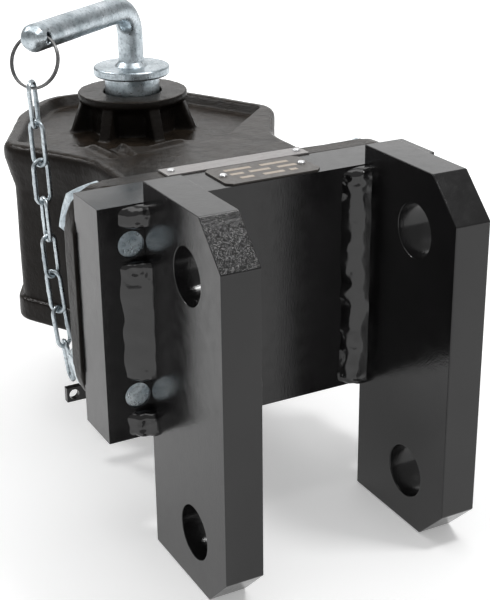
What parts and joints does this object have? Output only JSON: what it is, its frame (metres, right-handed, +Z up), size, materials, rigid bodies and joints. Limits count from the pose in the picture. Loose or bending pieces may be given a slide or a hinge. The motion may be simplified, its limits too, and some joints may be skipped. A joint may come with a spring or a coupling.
{
  "type": "trailer coupler",
  "caption": "Cast towing jaw with a collared drop pin, bent handle and retaining chain, bolted to a welded bracket with two drilled lugs",
  "frame": {"origin": "middle of the upper lug bore's axis, on the symmetry plane between the lugs", "axes": "+X along the lug bores to the right seen from the lugs, +Y from the lugs to the open mouth of the jaw, +Z up along the tow pin"},
  "size_m": [0.194, 0.335, 0.2521],
  "materials": {
    "black_paint": "satin black paint over steel plate",
    "cast_black": "rough casting under black paint",
    "zinc": "bright zinc plating",
    "zinc_wire": "zinc plated wire",
    "bush_steel": "bare turned steel",
    "dark_plate": "dark printed aluminium plate",
    "pale_metal": "pale matt aluminium strip",
    "rivet_metal": "bright rivet heads"
  },
  "bodies": {
    "base": {"mounting_plate": "black_paint", "lug_left": "black_paint", "lug_right": "black_paint", "weld_left_top": "black_paint", "weld_left_middle": "black_paint", "weld_left_bottom": "black_paint", "weld_left_inner": "black_paint", "weld_right_top": "black_paint", "weld_right_middle": "black_paint", "weld_right_bottom": "black_paint", "weld_right_inner": "black_paint", "jaw_casting": "cast_black", "flange_bolts": "zinc", "chain_anchor": "black_paint", "type_plate": "dark_plate", "strip_plate": "pale_metal", "plate_rivets": "rivet_metal"},
    "lower_bush": {"lower_bush": "bush_steel"},
    "tow_pin": {"tow_pin": "zinc", "pin_handle": "zinc", "handle_weld": "zinc"},
    "split_ring": {"split_ring": "zinc_wire"},
    "chain_link_1": {"chain_link_1": "zinc_wire"},
    "chain_link_2": {"chain_link_2": "zinc_wire"},
    "chain_link_3": {"chain_link_3": "zinc_wire"},
    "chain_link_4": {"chain_link_4": "zinc_wire"},
    "chain_link_5": {"chain_link_5": "zinc_wire"},
    "chain_link_6": {"chain_link_6": "zinc_wire"},
    "chain_link_7": {"chain_link_7": "zinc_wire"},
    "chain_link_8": {"chain_link_8": "zinc_wire"}
  },
  "joints": [
    {"name": "tow_pin_turn", "type": "hinge", "parent": "base", "child": "lower_bush", "pos_m": [0, 0.223, -0.082], "axis": [0, 0, 1], "range_deg": [-8, 1]},
    {"name": "tow_pin_lift", "type": "slide", "parent": "lower_bush", "child": "tow_pin", "axis": [0, 0, 1], "range_m": [0, 0.095]},
    {"name": "ring_swing", "type": "hinge", "parent": "tow_pin", "child": "split_ring", "pos_m": [-0.07731, 0.16474, 0.0801], "axis": [-0.6018, 0.7986, 0], "range_deg": [0, 8]},
    {"name": "chain_link_1_swing", "type": "hinge", "parent": "split_ring", "child": "chain_link_1", "pos_m": [-0.08452, 0.15931, 0.05529], "axis": [-0.6018, 0.7986, 0], "range_deg": [0, 8]},
    {"name": "chain_link_2_swing", "type": "hinge", "parent": "chain_link_1", "child": "chain_link_2", "pos_m": [-0.08342, 0.15942, 0.03362], "axis": [-0.642, -0.7659, -0.0365], "range_deg": [-8, 0]},
    {"name": "chain_link_3_swing", "type": "hinge", "parent": "chain_link_2", "child": "chain_link_3", "pos_m": [-0.08259, 0.15965, 0.01194], "axis": [0.4996, -0.8662, 0.0101], "range_deg": [-8, 0]},
    {"name": "chain_link_4_swing", "type": "hinge", "parent": "chain_link_3", "child": "chain_link_4", "pos_m": [-0.08187, 0.15984, -0.00975], "axis": [0.9897, 0.1389, 0.034], "range_deg": [-8, 0]},
    {"name": "chain_link_5_swing", "type": "hinge", "parent": "chain_link_4", "child": "chain_link_5", "pos_m": [-0.08096, 0.15984, -0.03143], "axis": [-0.0349, -0.9994, -0.0015], "range_deg": [-8, 0]},
    {"name": "chain_link_6_swing", "type": "hinge", "parent": "chain_link_5", "child": "chain_link_6", "pos_m": [-0.07979, 0.15961, -0.0531], "axis": [0.9497, 0.3095, 0.0482], "range_deg": [-8, 0]},
    {"name": "chain_link_7_swing", "type": "hinge", "parent": "chain_link_6", "child": "chain_link_7", "pos_m": [-0.07812, 0.15912, -0.07473], "axis": [0.6409, -0.7647, 0.0667], "range_deg": [-8, 0]},
    {"name": "chain_link_8_swing", "type": "hinge", "parent": "chain_link_7", "child": "chain_link_8", "pos_m": [-0.07593, 0.15833, -0.0963], "axis": [0.9462, 0.3123, 0.0847], "range_deg": [-8, 0]}
  ]
}
